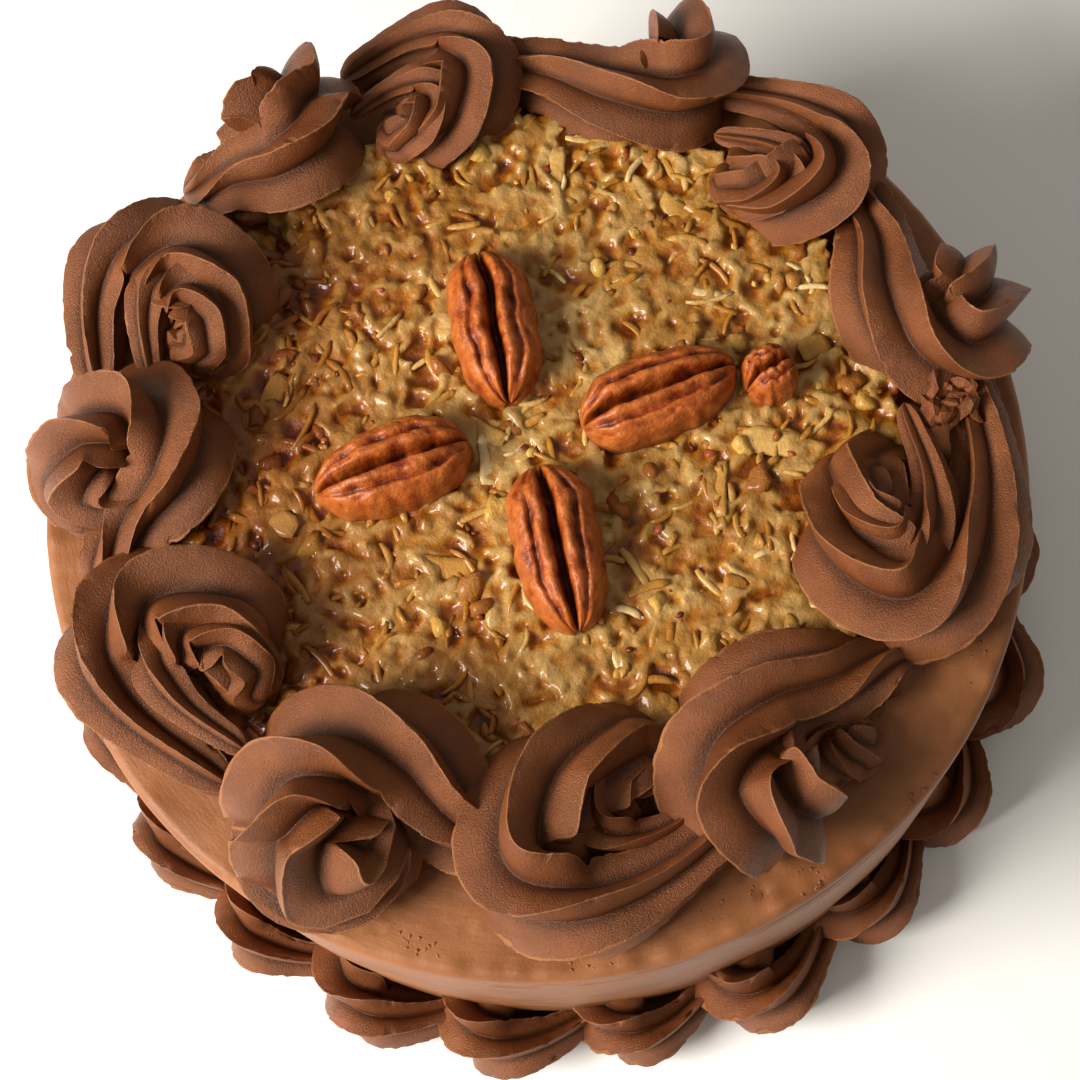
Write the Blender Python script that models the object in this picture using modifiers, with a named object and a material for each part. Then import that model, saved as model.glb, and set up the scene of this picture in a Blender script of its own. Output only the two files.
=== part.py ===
# German chocolate layer cake: iced body, coconut pecan topping, twelve piped top
# swirls, a border of twenty two shells round the foot, pecan halves on top.
# Metres, +Z up, axis of the cake on the world Z axis, underside at z = 0.
import math
import random

import bmesh
import bpy
import numpy as np
from mathutils import Matrix, Vector, noise

MM = 0.001

# Iced body
CAKE_RADIUS = 106 * MM
CAKE_HEIGHT = 88 * MM
RIM_ROUND = 4 * MM
CAKE_SIDES = 72

# Clear gap left between pieces that touch
GAP = 0.3 * MM

# Coconut pecan topping inside the ring of swirls
TOPPING_RADIUS = 80 * MM
TOPPING_THICKNESS = 5.5 * MM
TOPPING_EDGE = 2.2 * MM
TOPPING_BUMP = 0.9 * MM
TOPPING_RINGS = (16, 30, 44, 58, 70, 77)
TOPPING_SIDES = 36
SWIRL_SEAT = 7.0 * MM

# Small things fused on the topping: number, length, width, thickness
BITS_RADIUS = 47 * MM
FLAKES = (22, 8.5 * MM, 3.6 * MM, 1.6 * MM)
SHREDS = (20, 12 * MM, 1.9 * MM, 1.6 * MM)
CHUNKS = (16, 5.0 * MM, 4.2 * MM, 3.0 * MM)

# Pecan halves: middle x, middle y, direction of the rounder end, length, width
PECANS = (
    (-0.8, 32.5, 89, 35.5, 20.0),
    (30.2, 9.1, 190, 35.0, 19.0),
    (-28.2, 6.0, 7, 34.0, 19.0),
    (2.3, -19.0, 91, 37.0, 20.0),
)
PECAN_HEIGHT = 11 * MM
PECAN_GROOVE = 0.42
PECAN_CREASE = 0.20
PECAN_PIECE = (53.8, 8.0, 20, 11.5, 12.0)
PECAN_SEAT = 6.6 * MM

# A rope of icing from a six pointed nozzle
FINS = 6
VALLEY = 0.56
FOOT_VALLEY = 0.80
KNOTS = (0.0, 0.14, 0.28, 0.42, 0.56, 0.70, 0.85, 1.0)

# Path of one swirl in mm and degrees: along the ring, across it towards the loop's
# first side, up; tube radius, turn of the star, lean of the nozzle's axis
OUTER_TAIL = {
    "side": 1,
    "along": (-0.9, -4.0, -11.9, -17.9, -15.0, -7.5, 7.0, 26.9),
    "across": (8.5, 11.2, 9.3, -0.3, -8.2, -12.7, -9.2, 0.7),
    "tube": (13.7, 12.5, 14.3, 15.4, 14.0, 10.8, 7.0, 4.7),
    "wind": (284, 331, 383, 421, 463, 511, 520, 531),
    "lean": (-2, 36, 68, 83, 81, 81, 81, 80),
    "up": (-0.1, 6.4, 9.7, 10.3, 10.1, 9.3, 7.0, 3.9),
}
INNER_TAIL = {
    "side": -1,
    "along": (-4.7, -6.2, -12.4, -18.0, -14.0, -3.7, 9.1, 21.8),
    "across": (4.1, 5.8, 3.9, -2.3, -9.6, -12.2, -7.6, -2.2),
    "tube": (14.0, 13.8, 14.0, 15.2, 14.6, 12.2, 8.5, 4.7),
    "wind": (259, 300, 367, 433, 482, 515, 516, 448),
    "lean": (-11, 26, 64, 80, 79, 81, 81, 78),
    "up": (6.0, 10.1, 11.7, 11.1, 10.6, 9.6, 6.5, 3.3),
}

# Each swirl, in the order piped: angle, radius of its eye, path, size, turn, stretch,
# star turn, star wind, reach and swing of the tail, start ahead and inward, fatness, foot
SWIRLS = (
    (273, 78.0, OUTER_TAIL, 1.06, 2, 1.11, -10, -70, -1.3, -1.3, 5.5, 1.1, 0.94, -0.8),
    (303, 84.4, INNER_TAIL, 1.02, -8, 0.98, 1, 1, 4.0, -1.0, -6.1, -2.4, 1.09, 3.1),
    (343, 78.5, OUTER_TAIL, 1.06, -3, 1.16, -5, -16, 4.6, -6.3, 2.7, -3.4, 0.92, 1.0),
    (15, 95.3, INNER_TAIL, 0.97, -1, 1.06, -18, 33, 4.5, 2.6, -0.9, -4.0, 0.97, -4.3),
    (42, 91.7, OUTER_TAIL, 0.87, -12, 0.86, -8, -24, 1.9, -1.1, -2.4, -2.6, 0.95, 0.6),
    (69, 96.9, INNER_TAIL, 0.97, 5, 1.09, 19, 15, 4.6, 6.4, 0.0, -8.3, 0.97, -2.0),
    (94, 95.3, OUTER_TAIL, 0.84, -18, 0.84, 30, -50, -1.8, -4.4, -2.5, 1.0, 0.91, 1.6),
    (119, 102.3, INNER_TAIL, 1.04, -4, 0.72, 17, -18, -2.0, 2.4, -11.2, -12.4, 1.02, -5.8),
    (145, 88.6, OUTER_TAIL, 0.97, -4, 0.76, 10, 0, -0.4, -5.4, -3.1, -0.4, 1.03, 1.3),
    (172, 88.9, INNER_TAIL, 1.03, -14, 0.86, 19, -53, -2.4, 4.8, -1.3, -1.1, 0.99, -0.1),
    (203, 83.0, OUTER_TAIL, 1.07, -9, 0.91, 22, -28, -5.5, -2.5, 1.2, -3.4, 0.99, -5.5),
    (239, 83.9, INNER_TAIL, 1.14, -6, 0.82, -8, 26, 3.5, -0.6, -7.5, -0.8, 1.05, 2.4),
)
SWIRL_STATIONS = 19
SWIRL_SPLIT = 8
SWIRL_FACES = 540
SWELL = 1.0
POINTS = 2
GRAIN = 0.6 * MM
GRAINS = (0.8 * MM, 0.75 * MM, 0.7 * MM, 0.65 * MM)
FOOT_DEPTH = 6 * MM
SHORTEST_EDGE = 0.05 * MM
SMALLEST_FACE = 0.001 * MM * MM
BED_REACH = 150 * MM

# Shells round the foot: number, first angle, radius of the eye, size
SHELLS = 22
SHELL_START = 272
SHELL_RADIUS = 106.5
SHELL_SIZE = 0.60
SHELL_STATIONS = 9
SHELL_FACES = 150

rng = random.Random(7)


def clear_scene():
    for thing in list(bpy.data.objects):
        bpy.data.objects.remove(thing, do_unlink=True)


def new_collection(name):
    group = bpy.data.collections.new(name)
    bpy.context.scene.collection.children.link(group)
    return group


def new_material(name, colour, roughness):
    material = bpy.data.materials.new(name)
    material.use_nodes = True
    shader = material.node_tree.nodes["Principled BSDF"]
    shader.inputs["Base Color"].default_value = (*colour, 1.0)
    shader.inputs["Roughness"].default_value = roughness
    return material


def new_object(name, mesh_builder, group, material=None):
    mesh = bpy.data.meshes.new(name)
    bmesh.ops.recalc_face_normals(mesh_builder, faces=mesh_builder.faces)
    mesh_builder.to_mesh(mesh)
    mesh_builder.free()
    thing = bpy.data.objects.new(name, mesh)
    group.objects.link(thing)
    if material:
        mesh.materials.append(material)
    return thing


def station_matrix(places):
    # Weights that carry the knot values smoothly to each place along the rope
    knots = np.array(KNOTS)
    count = len(knots)
    slope = np.zeros((count, count))
    for knot in range(count):
        before = max(knot - 1, 0)
        after = min(knot + 1, count - 1)
        slope[knot, before] -= 1 / (knots[after] - knots[before])
        slope[knot, after] += 1 / (knots[after] - knots[before])
    weights = np.zeros((len(places), count))
    for row, place in enumerate(places):
        span = int(np.clip(np.searchsorted(knots, place, side="right") - 1, 0, count - 2))
        width = knots[span + 1] - knots[span]
        step = (place - knots[span]) / width
        weights[row, span] += 2 * step ** 3 - 3 * step ** 2 + 1
        weights[row, span + 1] += 3 * step ** 2 - 2 * step ** 3
        weights[row] += (step ** 3 - 2 * step ** 2 + step) * width * slope[span]
        weights[row] += (step ** 3 - step ** 2) * width * slope[span + 1]
    return weights


def smooth_step(value):
    value = np.clip(value, 0, 1)
    return value * value * (3 - 2 * value)


def rope_rings(row, places, points, floor, swell=0.0):
    # Rings of the star section along one swirl, in metres in the shared frame
    angle, radius, path, size, turn, stretch, star, wind = row[:8]
    reach, swing, ahead, inward, fat, foot = row[8:]
    weights = station_matrix(places)
    tail = smooth_step((places - 0.45) / 0.55)
    start = smooth_step(1 - places / 0.5)
    along = weights @ np.array(path["along"]) * stretch + reach * tail + ahead * start
    across = weights @ np.array(path["across"]) + swing * tail + inward * start
    up = weights @ np.array(path["up"])
    tube = weights @ np.array(path["tube"]) * fat
    tube += foot * np.clip(1 - places / 0.28, 0, 1) ** 2 + swell / size
    spin = np.radians(weights @ np.array(path["wind"]) + star + wind * (places - 0.4))
    lean = np.radians(weights @ np.array(path["lean"]))
    run = np.gradient(along, places)
    rise = np.gradient(across, places)
    length = np.hypot(run, rise)
    heading = np.unwrap(np.arctan2(rise, run))
    bend = length / np.maximum(np.gradient(heading, places), 0.001)
    room = (0.9 * np.clip(bend, 6, 200))[:, None]
    forward = np.stack([np.cos(heading), np.sin(heading), 0 * heading], -1)
    rightward = np.stack([np.sin(heading), -np.cos(heading), 0 * heading], -1)
    upright = np.array([0.0, 0.0, 1.0])
    face = -np.cos(lean)[:, None] * forward + np.sin(lean)[:, None] * upright

    step = 2 * math.pi / FINS
    share = np.arange(points * FINS) / points
    whole = np.floor(share)
    part = np.minimum(share - whole, 1 - (share - whole)) * 2
    hollow = VALLEY + (FOOT_VALLEY - VALLEY) * smooth_step(1 - places / 0.25)
    crease_x = (hollow * math.cos(step / 2))[:, None]
    crease_y = (hollow * math.sin(step / 2))[:, None]
    flank_x = 1 + (crease_x - 1) * part
    flank_y = crease_y * part
    reachout = np.hypot(flank_x, flank_y) * tube[:, None]
    side = np.arctan2(flank_y, flank_x)
    side = np.where(share - whole > 0.5, step - side, side)
    around = whole * step + side - spin[:, None]
    lift = (reachout * np.cos(around))[..., None]
    slide = reachout * np.sin(around)
    slide = np.where(slide < 0, room * np.tanh(slide / room), slide)[..., None]
    middle = np.stack([along, across, up], -1)[:, None]
    local = (middle + lift * face[:, None] + slide * rightward[:, None]) * size
    local[..., 1] *= path["side"]

    bearing = math.radians(angle)
    way = bearing + math.pi / 2 + math.radians(turn)
    ahead_axis = np.array([math.cos(way), math.sin(way), 0.0])
    inner_axis = np.array([-math.sin(way), math.cos(way), 0.0])
    eye = np.array([radius * math.cos(bearing), radius * math.sin(bearing), 0.0])
    rings = eye + local[..., :1] * ahead_axis + local[..., 1:2] * inner_axis
    rings = (rings + local[..., 2:] * upright) * MM
    rings[..., 2] += floor
    return rings


def skin(name, rings, group, material=None):
    # Skin the rings with quads, then close both ends
    builder = bmesh.new()
    place = builder.verts.layers.int.new("place")
    loop = bmesh.ops.create_circle(builder, segments=len(rings[0]), radius=1.0)["verts"]
    for number, vert in enumerate(loop):
        vert[place] = number
        vert.co = Vector(rings[0][number])
    edges = list(builder.edges)
    for ring in rings[1:]:
        made = bmesh.ops.extrude_edge_only(builder, edges=edges)["geom"]
        fresh = {item for item in made if isinstance(item, bmesh.types.BMVert)}
        for vert in fresh:
            vert.co = Vector(ring[vert[place]])
        edges = [item for item in made if isinstance(item, bmesh.types.BMEdge)
                 and item.verts[0] in fresh and item.verts[1] in fresh]
    bmesh.ops.holes_fill(builder, edges=builder.edges, sides=0)
    bmesh.ops.triangulate(builder, faces=builder.faces)
    return new_object(name, builder, group, material)


def circle(radius, height, sides):
    turns = [2 * math.pi * side / sides for side in range(sides)]
    return [(radius * math.cos(turn), radius * math.sin(turn), height) for turn in turns]


def turned(name, profile, sides, group, material=None):
    # Solid of revolution from (radius, height) pairs listed upwards
    rings = [circle(radius, height, sides) for radius, height in profile]
    return skin(name, rings, group, material)


def combine(thing, operation, operands, solver="MANIFOLD"):
    for operand in operands:
        step = thing.modifiers.new("combine", "BOOLEAN")
        step.operation = operation
        step.solver = solver
        step.object = operand
    apply_modifiers(thing)


def apply_modifiers(thing):
    graph = bpy.context.evaluated_depsgraph_get()
    graph.update()
    shaped = bpy.data.meshes.new_from_object(thing.evaluated_get(graph))
    thing.modifiers.clear()
    old = thing.data
    shaped.name = thing.name
    thing.data = shaped
    bpy.data.meshes.remove(old)
    thing.data.name = thing.name


def keep_largest(thing):
    # Drop every closed skin but the largest
    builder = bmesh.new()
    builder.from_mesh(thing.data)
    left = set(builder.faces)
    islands = []
    while left:
        stack = [left.pop()]
        island = set(stack)
        while stack:
            for edge in stack.pop().edges:
                for face in edge.link_faces:
                    if face in left:
                        left.discard(face)
                        island.add(face)
                        stack.append(face)
        islands.append(island)
    islands.sort(key=lambda island: sum(face.calc_area() for face in island), reverse=True)
    for island in islands[1:]:
        bmesh.ops.delete(builder, geom=list(island), context="FACES")
    bmesh.ops.triangulate(builder, faces=builder.faces)
    builder.to_mesh(thing.data)
    builder.free()


def sound(mesh):
    # Closed everywhere, every point on one fan of faces, no slivers
    builder = bmesh.new()
    builder.from_mesh(mesh)
    good = all(len(edge.link_faces) == 2 and edge.calc_length() > SHORTEST_EDGE
               for edge in builder.edges)
    good = good and all(face.calc_area() > SMALLEST_FACE for face in builder.faces)
    good = good and all(vert.is_manifold for vert in builder.verts)
    builder.free()
    return good


def thin_out(thing, wanted, lowest, inner):
    # Collapse the short edges that the Booleans leave, down to the wanted triangles or
    # a few under it, and bring back any point carried into what the piece lies on
    full = thing.data.copy()
    for fewer in range(0, wanted // 5, 4):
        step = thing.modifiers.new("thin", "DECIMATE")
        step.ratio = min((wanted - fewer) / len(full.polygons), 1.0)
        apply_modifiers(thing)
        for vert in thing.data.vertices:
            vert.co.z = max(vert.co.z, lowest)
            reach = math.hypot(vert.co.x, vert.co.y)
            if reach < inner:
                vert.co.x *= inner / reach
                vert.co.y *= inner / reach
        if sound(thing.data):
            return True
        thing.data = full.copy()
    return False


def evened(thing, grain):
    # One even closed skin round everything in the mesh
    step = thing.modifiers.new("even", "REMESH")
    step.mode = "VOXEL"
    step.voxel_size = grain
    apply_modifiers(thing)
    keep_largest(thing)


def rope_solid(name, row, stations, split, floor, group, swell=0.0):
    # The rope crosses itself, so its head and its tail are skinned apart and merged
    places = np.linspace(0, 1, stations)
    rings = rope_rings(row, places, POINTS, floor, swell)
    foot = rings[0].copy()
    foot[:, 2] = floor - FOOT_DEPTH
    head = skin(name, [foot] + list(rings[:split + 1]), group)
    tail = skin("tail", list(rings[split - 1:]), group)
    builder = bmesh.new()
    builder.from_mesh(head.data)
    builder.from_mesh(tail.data)
    builder.to_mesh(head.data)
    builder.free()
    bpy.data.objects.remove(tail, do_unlink=True)
    evened(head, GRAIN)
    return head


def piped(name, rows, number, stations, split, floor, bed, limits, parts, cutters,
          material):
    # One piped swirl, bedded on what is under it, its tail under the next one's head
    thing = rope_solid(name, rows[number], stations, split, floor, cutters)
    following = rows[(number + 1) % len(rows)]
    over = rope_solid("over", following, stations, split, floor, cutters, SWELL)
    combine(thing, "DIFFERENCE", [bed, over])
    bpy.data.objects.remove(over, do_unlink=True)
    keep_largest(thing)
    full = thing.data.copy()
    for grain in GRAINS:
        thing.data = full.copy()
        evened(thing, grain)
        if thin_out(thing, *limits):
            break
    cutters.objects.unlink(thing)
    parts.objects.link(thing)
    thing.name = name
    thing.data.name = name
    thing.data.materials.append(material)
    return thing


def pecan_rings(row, base, stations, points):
    # Sections across half a pecan, from its pointed end to its rounder end
    x, y, bearing, length, width = row
    way = Vector((math.cos(math.radians(bearing)), math.sin(math.radians(bearing)), 0))
    across = Vector((-way.y, way.x, 0))
    middle = Vector((x * MM, y * MM, base))
    rings = []
    for number in range(stations):
        place = -0.97 + 1.94 * number / (stations - 1)
        taper = (1 - abs(place) ** 2.6) ** 0.5 * (1 + 0.08 * place)
        ring = []
        for spot in range(points):
            turn = 2 * math.pi * spot / points
            sidestep = math.cos(turn)
            rise = max(math.sin(turn), 0) ** 0.75
            groove = 1 - PECAN_GROOVE * math.exp(-(sidestep / 0.10) ** 2)
            groove -= PECAN_CREASE * math.exp(-((abs(sidestep) - 0.5) / 0.12) ** 2)
            height = PECAN_HEIGHT * rise * groove * taper ** 0.8
            ring.append(middle + way * (place * length * MM / 2)
                        + across * (sidestep * taper * width * MM / 2)
                        + Vector((0, 0, height)))
        rings.append(ring)
    return rings


def clear_of_pecans(x, y, margin):
    for row in PECANS + (PECAN_PIECE,):
        way = math.radians(row[2])
        ahead = (x / MM - row[0]) * math.cos(way) + (y / MM - row[1]) * math.sin(way)
        aside = (y / MM - row[1]) * math.cos(way) - (x / MM - row[0]) * math.sin(way)
        if math.hypot(ahead / (row[3] / 2 + margin), aside / (row[4] / 2 + margin)) < 1:
            return False
    return True


def make_topping(parts, cutters, material):
    base = CAKE_HEIGHT + GAP
    rings = [circle(TOPPING_RADIUS, base, TOPPING_SIDES),
             circle(TOPPING_RADIUS - 0.5 * MM, base + TOPPING_EDGE, TOPPING_SIDES)]
    for radius in reversed(TOPPING_RINGS):
        ring = circle(radius * MM, base + TOPPING_THICKNESS, TOPPING_SIDES)
        for number, (x, y, z) in enumerate(ring):
            if radius < TOPPING_RINGS[-2] and clear_of_pecans(x, y, 5):
                z += TOPPING_BUMP * noise.noise(Vector((x, y, 0)) / (9 * MM))
            ring[number] = (x, y, z)
        rings.append(ring)
    topping = skin("coconut_pecan_topping", rings, parts)
    bits = new_collection("bits")
    for count, length, width, thickness in (FLAKES, SHREDS, CHUNKS):
        made = 0
        while made < count:
            turn = rng.uniform(0, 2 * math.pi)
            reach = BITS_RADIUS * math.sqrt(rng.random())
            x = reach * math.cos(turn)
            y = reach * math.sin(turn)
            if not clear_of_pecans(x, y, 3 + length / MM / 2):
                continue
            builder = bmesh.new()
            if thickness > 2 * MM:
                bmesh.ops.create_icosphere(builder, subdivisions=1, radius=0.5)
            else:
                bmesh.ops.create_cube(builder, size=1.0)
                for vert in builder.verts:
                    vert.co.y *= 1 - 0.5 * max(vert.co.x, 0)
            size = rng.uniform(0.75, 1.15)
            turned_by = Matrix.Rotation(rng.uniform(0, math.pi), 4, "Z")
            tilted_by = Matrix.Rotation(rng.uniform(-0.25, 0.25), 4, "Y")
            scaled_by = Matrix.Diagonal((length * size, width * size, thickness, 1))
            moved_by = Matrix.Translation((x, y, base + TOPPING_THICKNESS + thickness * 0.1))
            bmesh.ops.transform(builder, verts=builder.verts,
                                matrix=moved_by @ turned_by @ tilted_by @ scaled_by)
            new_object("bit", builder, bits)
            made += 1
    step = topping.modifiers.new("bits", "BOOLEAN")
    step.operation = "UNION"
    step.solver = "MANIFOLD"
    step.operand_type = "COLLECTION"
    step.collection = bits
    apply_modifiers(topping)
    for bit in list(bits.objects):
        bpy.data.objects.remove(bit, do_unlink=True)
    bpy.data.collections.remove(bits)
    keep_largest(topping)
    topping.data.materials.clear()
    topping.data.materials.append(material)
    return topping


def main():
    clear_scene()
    parts = new_collection("german_chocolate_cake")
    cutters = new_collection("cutters")
    chocolate = new_material("piped_chocolate_icing", (0.16, 0.062, 0.030), 0.45)
    spread = new_material("spread_chocolate_icing", (0.34, 0.17, 0.09), 0.55)
    custard = new_material("coconut_pecan_topping", (0.52, 0.29, 0.08), 0.30)
    nut = new_material("pecan", (0.27, 0.075, 0.025), 0.45)

    top = CAKE_HEIGHT
    inset = CAKE_RADIUS - RIM_ROUND
    profile = [(CAKE_RADIUS, 0.0), (CAKE_RADIUS, top - RIM_ROUND)]
    for number in (1, 2):
        turn = math.pi / 2 * number / 3
        profile.append((inset + RIM_ROUND * math.cos(turn),
                        top - RIM_ROUND + RIM_ROUND * math.sin(turn)))
    profile.append((inset, top))
    turned("iced_cake", profile, CAKE_SIDES, parts, spread)

    make_topping(parts, cutters, custard)

    bed = turned("top_bed", [(BED_REACH, top - BED_REACH), (BED_REACH, top + GAP),
                             (TOPPING_RADIUS + GAP, top + GAP),
                             (TOPPING_RADIUS + GAP, top + SWIRL_SEAT)], 48, cutters)
    for number in range(len(SWIRLS)):
        piped(f"top_swirl_{number + 1:02d}", SWIRLS, number, SWIRL_STATIONS, SWIRL_SPLIT,
              top, bed, (SWIRL_FACES, top + GAP, 0.0), parts, cutters, chocolate)

    shells = []
    for number in range(SHELLS):
        angle = SHELL_START + 360 / SHELLS * number
        shells.append((angle, SHELL_RADIUS + rng.uniform(-1, 1), OUTER_TAIL,
                       SHELL_SIZE * rng.uniform(0.95, 1.05), rng.uniform(-5, 5),
                       rng.uniform(0.98, 1.1), rng.uniform(-25, 25), rng.uniform(-30, 10),
                       rng.uniform(0, 4), rng.uniform(-2, 2), 0, 0, 1.0, 1.5))
    foot_bed = turned("foot_bed", [(BED_REACH, -BED_REACH), (BED_REACH, 0.0),
                                   (CAKE_RADIUS + GAP, 0.0),
                                   (CAKE_RADIUS + GAP, 50 * MM)], 96, cutters)
    for number in range(SHELLS):
        piped(f"foot_shell_{number + 1:02d}", shells, number, SHELL_STATIONS, 4, 0.0,
              foot_bed, (SHELL_FACES, 0.0, CAKE_RADIUS + GAP), parts, cutters, chocolate)

    for number, row in enumerate(PECANS):
        skin(f"pecan_half_{number + 1}", pecan_rings(row, top + PECAN_SEAT, 8, 14), parts, nut)
    skin("pecan_piece", pecan_rings(PECAN_PIECE, top + PECAN_SEAT, 5, 10), parts, nut)

    for cutter in list(cutters.objects):
        bpy.data.objects.remove(cutter, do_unlink=True)
    bpy.data.collections.remove(cutters)


main()
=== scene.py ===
# German chocolate cake: ridged piped icing, spatula marks, coconut pecan topping and pecan
# halves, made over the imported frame.
import math

import bmesh
import bpy
import numpy as np
from mathutils import Matrix, Vector, noise


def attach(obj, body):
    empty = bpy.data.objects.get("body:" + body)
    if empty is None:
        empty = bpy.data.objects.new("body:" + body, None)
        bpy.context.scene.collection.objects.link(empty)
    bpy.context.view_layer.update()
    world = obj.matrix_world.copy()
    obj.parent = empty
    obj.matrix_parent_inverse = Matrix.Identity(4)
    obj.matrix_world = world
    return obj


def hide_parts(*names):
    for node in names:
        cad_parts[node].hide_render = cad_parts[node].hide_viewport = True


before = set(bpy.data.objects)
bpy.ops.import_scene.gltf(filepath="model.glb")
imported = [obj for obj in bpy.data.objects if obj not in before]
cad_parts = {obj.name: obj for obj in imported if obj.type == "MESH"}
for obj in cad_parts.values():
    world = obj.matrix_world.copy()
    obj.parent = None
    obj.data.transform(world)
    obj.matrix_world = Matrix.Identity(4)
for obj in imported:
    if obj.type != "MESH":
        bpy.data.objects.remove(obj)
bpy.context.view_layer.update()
print("loaded the frame:", len(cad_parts), "nodes")

mm = 0.001
icedTop = 0.088  # height of the iced top
icedRadius = 0.106
dice = np.random.RandomState(11)


# General helpers

def smoothStep(value):
    value = np.clip(value, 0, 1)
    return value * value * (3 - 2 * value)


def finishPiece(name, builder, materials, nodes=(), smooth=True):
    # Turn a bmesh into a piece that rides with the cake and stands for its nodes
    mesh = bpy.data.meshes.new(name)
    builder.to_mesh(mesh)
    builder.free()
    for material in materials:
        mesh.materials.append(material)
    if smooth:
        mesh.polygons.foreach_set("use_smooth", [True] * len(mesh.polygons))
    piece = bpy.data.objects.new(name, mesh)
    bpy.context.scene.collection.objects.link(piece)
    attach(piece, "root")
    if nodes:
        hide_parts(*nodes)
    return piece


def skinRings(rings, marks=None, mark="paintedRidgeLight"):
    # A circle pulled out ring by ring, each point then set on the ring it belongs to
    builder = bmesh.new()
    number = builder.verts.layers.int.new("number")
    shade = builder.verts.layers.float.new(mark)
    loop = bmesh.ops.create_circle(builder, segments=len(rings[0]), radius=1.0)["verts"]
    for place, vert in enumerate(loop):
        vert[number] = place
        vert.co = rings[0][place]
        if marks is not None:
            vert[shade] = marks[0][place]
    edges = list(builder.edges)
    for row, ring in enumerate(rings[1:], 1):
        made = bmesh.ops.extrude_edge_only(builder, edges=edges)["geom"]
        fresh = [item for item in made if isinstance(item, bmesh.types.BMVert)]
        for vert in fresh:
            vert.co = ring[vert[number]]
            if marks is not None:
                vert[shade] = marks[row][vert[number]]
        known = set(fresh)
        edges = [item for item in made if isinstance(item, bmesh.types.BMEdge)
                 and item.verts[0] in known and item.verts[1] in known]
    bmesh.ops.holes_fill(builder, edges=builder.edges, sides=0)
    bmesh.ops.recalc_face_normals(builder, faces=builder.faces)
    return builder


class Nodes:
    # Short way to add and join shader nodes
    def __init__(self, name, colour, roughness):
        self.material = bpy.data.materials.new(name)
        self.material.use_nodes = True
        self.tree = self.material.node_tree
        self.shader = self.tree.nodes["Principled BSDF"]
        self.shader.inputs["Base Color"].default_value = (*colour, 1)
        self.shader.inputs["Roughness"].default_value = roughness
        self.place = self.add("ShaderNodeTexCoord").outputs["Object"]

    def add(self, kind, settings=None, **values):
        node = self.tree.nodes.new(kind)
        for key, value in (settings or {}).items():
            setattr(node, key, value)
        for key, value in values.items():
            socket = node.inputs[key.replace("_", " ")]
            if isinstance(value, bpy.types.NodeSocket):
                self.tree.links.new(value, socket)
            else:
                socket.default_value = value
        return node

    def noise(self, scale, detail=3.0, roughness=0.55, stretch=None):
        place = self.place
        if stretch:
            place = self.add("ShaderNodeMapping", Vector=place, Scale=stretch).outputs[0]
        return self.add("ShaderNodeTexNoise", Vector=place, Scale=scale, Detail=detail,
                        Roughness=roughness).outputs["Fac"]

    def ramp(self, value, stops):
        node = self.add("ShaderNodeValToRGB", Fac=value)
        points = node.color_ramp.elements
        while len(points) < len(stops):
            points.new(0.5)
        for point, (position, colour) in zip(points, stops):
            point.position = position
            point.color = (*colour, 1)
        return node.outputs["Color"]

    def mix(self, share, first, second, blend="MIX"):
        node = self.add("ShaderNodeMix", {"data_type": "RGBA", "blend_type": blend})
        for socket, value in ((0, share), (6, first), (7, second)):
            if isinstance(value, bpy.types.NodeSocket):
                self.tree.links.new(value, node.inputs[socket])
            elif socket:
                node.inputs[socket].default_value = (*value, 1)
            else:
                node.inputs[socket].default_value = value
        return node.outputs[2]

    def spread(self, value, low, high, outLow=0.0, outHigh=1.0):
        node = self.add("ShaderNodeMapRange", {"interpolation_type": "SMOOTHSTEP"}, Value=value)
        for key, number in zip((1, 2, 3, 4), (low, high, outLow, outHigh)):
            node.inputs[key].default_value = number
        return node.outputs[0]

    def attribute(self, name):
        return self.add("ShaderNodeAttribute", {"attribute_name": name}).outputs["Fac"]

    def bump(self, height, distance, strength=1.0, under=None):
        node = self.add("ShaderNodeBump", Height=height, Distance=distance, Strength=strength)
        if under:
            self.tree.links.new(under, node.inputs["Normal"])
        return node.outputs["Normal"]

    def wire(self, output, socket):
        self.tree.links.new(output, self.shader.inputs[socket])


# Piped chocolate icing

pipedIcing = {
    "colour": (0.200, 0.059, 0.0155),
    "dark": (0.140, 0.038, 0.0090),
    # painted shade in the valleys between the fins
    "paintedValleyShade": (0.075, 0.019, 0.0045),
    # painted highlight along the crests of the fins
    "paintedRidgeLight": (0.36, 0.140, 0.048),
    "roughness": 0.37,
    "roughnessSpread": 0.07,
    "specular": 0.50,
    "shineTint": (1.0, 0.86, 0.72, 1.0),
    "grain": 0.38 * mm,
    "fins": 6,
    "valley": 0.52,
    "footValley": 0.92,
    "footReach": 0.30,
    "bulge": 0.05,
    "ragged": 0.22 * mm,
    "tear": 1.3 * mm,
    "ropeLength": 90,  # mm of rope in a swirl of size 1, for its ragged edges
    "stations": 150,
    "heartStations": 90,
    "sink": 0.5 * mm,  # how deep the feet of the swirls lie in the icing
    "rimReach": 104 * mm,  # from here outwards the feet rise over the rim
    "rimRise": 0.8 * mm,
}

knots = np.array([0.0, 0.14, 0.28, 0.42, 0.56, 0.70, 0.85, 1.0])

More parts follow.
